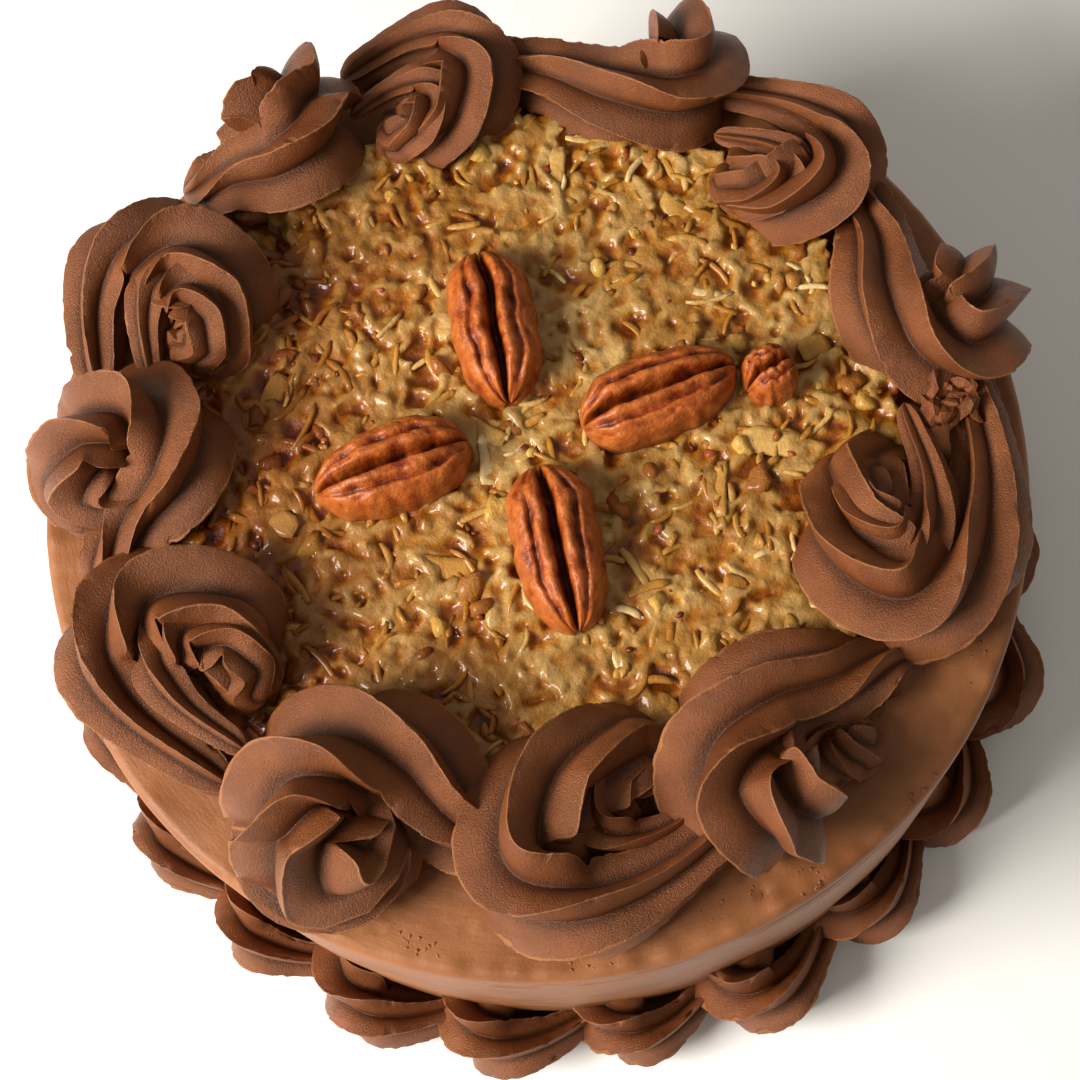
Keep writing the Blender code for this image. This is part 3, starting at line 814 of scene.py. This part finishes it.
def syrupPatchesAndLeftShadow(nodes, colour):
    # Amber syrup lies deeper and browner in random patches; towards the left of the cake the
    # colour is darker and browner as a painted shadow of the swirls there
    axes = nodes.add("ShaderNodeSeparateXYZ", Vector=nodes.place)
    # painted shadow: darker towards the left, where the swirls on the left shade the topping
    across = nodes.spread(axes.outputs["X"], -0.075, 0.0)
    paintedLeftShadow = nodes.ramp(across, ((0.0, (0.62, 0.34, 0.08)), (1.0, (1.0, 1.0, 1.0))))
    patches = nodes.ramp(nodes.noise(38, 4, 0.6), (
        (0.36, (0.62, 0.45, 0.22)), (0.64, (0.98, 0.97, 0.95))))
    colour = nodes.mix(1.0, colour, paintedLeftShadow, "MULTIPLY")
    return nodes.mix(1.0, colour, patches, "MULTIPLY")


def custardMaterial():
    nodes = Nodes("coconutPecanCustard", (0.34, 0.15, 0.03), 0.3)
    lift = nodes.attribute("lift")
    # Colour by height with random mottle: darker and redder in the hollows, lighter and creamier
    # on the tops; partly syrup pooled in the hollows and coconut on top, partly painted shade in
    # the hollows and painted highlight on the tops
    mottleAndHollowShade = nodes.add("ShaderNodeMath", {"operation": "MULTIPLY_ADD"})
    nodes.tree.links.new(nodes.noise(420, 3, 0.6), mottleAndHollowShade.inputs[0])
    mottleAndHollowShade.inputs[1].default_value = 1.4
    nodes.tree.links.new(lift, mottleAndHollowShade.inputs[2])
    colour = nodes.ramp(nodes.spread(mottleAndHollowShade.outputs[0], 0.0, 2.7), (
        (0.0, (0.13, 0.024, 0.001)), (0.35, (0.29, 0.088, 0.004)),
        (0.65, (0.40, 0.172, 0.018)), (1.0, (0.49, 0.32, 0.115))))
    bits = nodes.add("ShaderNodeTexVoronoi", Vector=nodes.place, Scale=280)
    tint = nodes.ramp(bits.outputs["Color"], (
        (0.1, (0.78, 0.68, 0.50)), (0.6, (1.0, 1.0, 1.0)), (0.95, (1.12, 1.18, 1.3))))
    colour = nodes.mix(1.0, colour, tint, "MULTIPLY")
    nodes.wire(syrupPatchesAndLeftShadow(nodes, colour), "Base Color")
    grain = nodes.bump(nodes.noise(700, 4, 0.65), 0.0007, 0.7)
    nodes.wire(grain, "Normal")
    glossy(nodes, 0.4, 0.12, (0.003, 0.0015, 0.0004))
    return nodes.material


def coconutMaterial():
    nodes = Nodes("coatedCoconut", (0.5, 0.3, 0.1), 0.32)
    shade = nodes.attribute("shade")
    colour = nodes.ramp(shade, (
        (0.0, (0.38, 0.165, 0.018)), (0.5, (0.47, 0.245, 0.050)),
        (0.88, (0.60, 0.40, 0.140)), (1.0, (0.74, 0.60, 0.32))))
    nodes.wire(syrupPatchesAndLeftShadow(nodes, colour), "Base Color")
    nodes.wire(nodes.bump(nodes.noise(900, 3, 0.6), 0.0005, 0.7), "Normal")
    glossy(nodes, 0.3, 0.2, (0.003, 0.002, 0.001))
    return nodes.material


def nutMaterial():
    nodes = Nodes("choppedPecan", (0.5, 0.3, 0.08), 0.4)
    shade = nodes.attribute("shade")
    colour = nodes.ramp(shade, (
        (0.0, (0.28, 0.090, 0.010)), (0.5, (0.42, 0.19, 0.040)), (0.8, (0.58, 0.36, 0.09)),
        (1.0, (0.72, 0.52, 0.14))))
    nodes.wire(syrupPatchesAndLeftShadow(nodes, colour), "Base Color")
    nodes.wire(nodes.bump(nodes.noise(900, 4, 0.7), 0.0006, 0.9), "Normal")
    glossy(nodes, 0.25, 0.08, (0.002, 0.001, 0.0005))
    return nodes.material


def skinMaterial():
    nodes = Nodes("pecanSkin", (0.20, 0.05, 0.015), 0.35)
    shade = nodes.attribute("shade")
    colour = nodes.ramp(shade, (
        (0.0, (0.09, 0.014, 0.005)), (0.6, (0.24, 0.045, 0.012)), (1.0, (0.36, 0.10, 0.030))))
    nodes.wire(colour, "Base Color")
    nodes.wire(nodes.bump(nodes.noise(1200, 3, 0.6), 0.0003, 0.7), "Normal")
    glossy(nodes, 0.3, 0.0, (0.001, 0.001, 0.001))
    return nodes.material


# Pecan halves

pecans = {
    "halves": ((-0.8, 32.5, 89, 35.5, 18.8), (30.2, 9.1, 190, 35.0, 18.0),
               (-28.2, 6.0, 7, 34.0, 18.4), (2.3, -19.0, 91, 37.0, 18.8)),
    "piece": (53.8, 8.0, 20, 11.5, 12.0),
    "height": 11 * mm,
    "base": icedTop + 6.6 * mm,
    "groove": 0.62,
    "crease": 0.16,
    "wrinkle": 0.65 * mm,
}


def pecanRings(row, stations, points, seed):
    # Rings along the nut: two lobes split by a deep groove that notches the ends
    x, y, bearing, length, width = row
    way = Vector((math.cos(math.radians(bearing)), math.sin(math.radians(bearing)), 0))
    aside = Vector((-way.y, way.x, 0))
    middle = Vector((x * mm, y * mm, pecans["base"]))
    rings = []
    marks = []
    for number in range(stations):
        place = -0.99 + 1.98 * (0.5 - 0.5 * math.cos(math.pi * number / (stations - 1)))
        taper = (1 - abs(place) ** 3.0) ** 0.55 * (1 + 0.07 * place)
        taper *= 1 + 0.06 * noise.noise(Vector((place * 2.5, seed * 7, 4)))
        bow = 0.06 * noise.noise(Vector((place * 1.3, seed * 3, 8)))
        ring = []
        mark = []
        for spot in range(points):
            turn = 2 * math.pi * spot / points
            sidestep = math.cos(turn)
            sway = sidestep + 0.12 * noise.noise(Vector((place * 1.4, seed, 0)))
            rise = max(math.sin(turn), 0) ** 0.6
            split = math.exp(-(sway / 0.12) ** 2)
            offset = 0.50 + 0.10 * noise.noise(Vector((place * 1.6, seed, 2 if sway > 0 else 5)))
            crease = math.exp(-((abs(sway) - offset) / 0.07) ** 2) * (1 - abs(place) ** 4)
            fold = noise.noise(Vector((place * 4.5, sidestep * 5, seed * 3)))
            small = noise.noise(Vector((place * 13, sidestep * 11, seed * 5)))
            groove = 1 - pecans["groove"] * split
            groove -= pecans["crease"] * crease
            height = pecans["height"] * rise * groove * taper ** 0.75
            height += rise * pecans["wrinkle"] * (fold + 0.55 * small) * taper
            spreadOut = 1 + 0.07 * noise.noise(Vector((place * 5, seed, sidestep)))
            reach = place * length * mm / 2 * (1 - 0.09 * split * abs(place) ** 3
                                               + 0.04 * fold * abs(place) ** 3)
            ring.append(middle + way * reach
                        + aside * ((sidestep * taper * spreadOut + bow) * width * mm / 2)
                        + Vector((0, 0, height - (2 * mm if rise <= 0 else 0))))
            # painted shade in the middle groove and the creases, painted highlight on the raised
            # wrinkles
            mark.append(1 - 1.2 * split - 0.9 * crease + 0.9 * fold + 0.5 * small)
        rings.append(ring)
        marks.append(mark)
    return rings, marks


def pecanMaterial():
    nodes = Nodes("pecanHalf", (0.30, 0.085, 0.025), 0.36)
    relief = nodes.attribute("relief")
    streak = nodes.noise(260, 4, 0.65)
    # colour by relief: painted shade darkening the groove and creases, painted highlight on the
    # raised wrinkles
    colour = nodes.ramp(nodes.spread(relief, -0.4, 1.1), (
        (0.0, (0.05, 0.006, 0.001)), (0.4, (0.20, 0.032, 0.004)),
        (0.75, (0.34, 0.066, 0.008)), (1.0, (0.46, 0.125, 0.022))))
    darker = nodes.ramp(streak, ((0.35, (0.62, 0.5, 0.45)), (0.65, (1.0, 1.0, 1.0))))
    nodes.wire(nodes.mix(1.0, colour, darker, "MULTIPLY"), "Base Color")
    wrinkles = nodes.bump(nodes.noise(520, 4, 0.6), 0.0008, 0.6)
    nodes.wire(nodes.bump(nodes.noise(1800, 3, 0.6), 0.0002, 0.7, wrinkles), "Normal")
    nodes.shader.inputs["Specular IOR Level"].default_value = 0.3
    nodes.shader.inputs["Coat Weight"].default_value = 0.08
    nodes.shader.inputs["Coat Roughness"].default_value = 0.25
    return nodes.material


def makePecans():
    material = pecanMaterial()
    for number, row in enumerate(pecans["halves"]):
        rings, marks = pecanRings(row, 90, 96, number + 1)
        builder = skinRings(rings, marks, "relief")
        finishPiece(f"pecanHalf{number + 1}", builder, [material],
                    [f"pecan_half_{number + 1}"])
    rings, marks = pecanRings(pecans["piece"], 50, 72, 9)
    builder = skinRings(rings, marks, "relief")
    finishPiece("pecanPiece", builder, [material], ["pecan_piece"])
    print("set the pecans")


# Camera, light and floor

view = {
    "distance": 0.4381,
    "elevation": 72.727,
    "focal": 68.67,
    "aim": (-0.0010, -0.0137, 0.088),
    "roll": -12.42,
}
studio = {
    "keyPlace": (-0.84, -0.22, 0.68),
    "keyEnergy": 24.5,
    "keySize": 0.5,
    "keyColour": (1.0, 0.96, 0.90),
    "sky": (1.0, 0.95, 0.87),
    "skyStrength": 0.33,
    "floor": (0.86, 0.85, 0.83),
}


def makeCamera():
    elevation = math.radians(view["elevation"])
    roll = math.radians(view["roll"])
    back = Vector((0, -math.cos(elevation), math.sin(elevation)))
    level = Vector((1, 0, 0))
    rise = back.cross(level)
    right = level * math.cos(roll) + rise * math.sin(roll)
    up = rise * math.cos(roll) - level * math.sin(roll)
    placing = Matrix((right, up, back)).transposed().to_4x4()
    placing.translation = Vector(view["aim"]) + back * view["distance"]
    camera = bpy.data.objects.new("camera", bpy.data.cameras.new("camera"))
    bpy.context.scene.collection.objects.link(camera)
    camera.matrix_world = placing
    camera.data.lens = view["focal"]
    camera.data.sensor_width = 36
    camera.data.clip_start = 0.01
    bpy.context.scene.camera = camera


def makeStudio():
    light = bpy.data.lights.new("key", "AREA")
    light.energy = studio["keyEnergy"]
    light.size = studio["keySize"]
    light.color = studio["keyColour"]
    key = bpy.data.objects.new("key", light)
    bpy.context.scene.collection.objects.link(key)
    key.location = studio["keyPlace"]
    towards = Vector((0, 0, 0.09)) - key.location
    key.rotation_euler = towards.to_track_quat("-Z", "Y").to_euler()
    world = bpy.data.worlds.new("studio")
    world.use_nodes = True
    sky = world.node_tree.nodes["Background"]
    sky.inputs["Color"].default_value = (*studio["sky"], 1)
    sky.inputs["Strength"].default_value = studio["skyStrength"]
    bpy.context.scene.world = world
    bpy.context.scene.view_settings.view_transform = "Standard"
    builder = bmesh.new()
    bmesh.ops.create_grid(builder, x_segments=1, y_segments=1, size=3)
    mesh = bpy.data.meshes.new("floor")
    builder.to_mesh(mesh)
    builder.free()
    floor = bpy.data.objects.new("floor", mesh)
    bpy.context.scene.collection.objects.link(floor)
    nodes = Nodes("floor", studio["floor"], 0.6)
    nodes.wire(nodes.bump(nodes.noise(40), 0.0001, 0.2), "Normal")
    mesh.materials.append(nodes.material)
    print("set the camera and the light")


makeCamera()
makeStudio()
icing = pipedMaterial()
spread = spreadMaterial()
makeBody(spread)
makeSwirls(icing)
makeShells(icing)
makeTopping()
makePecans()
makeCrumbs(icing, spread)
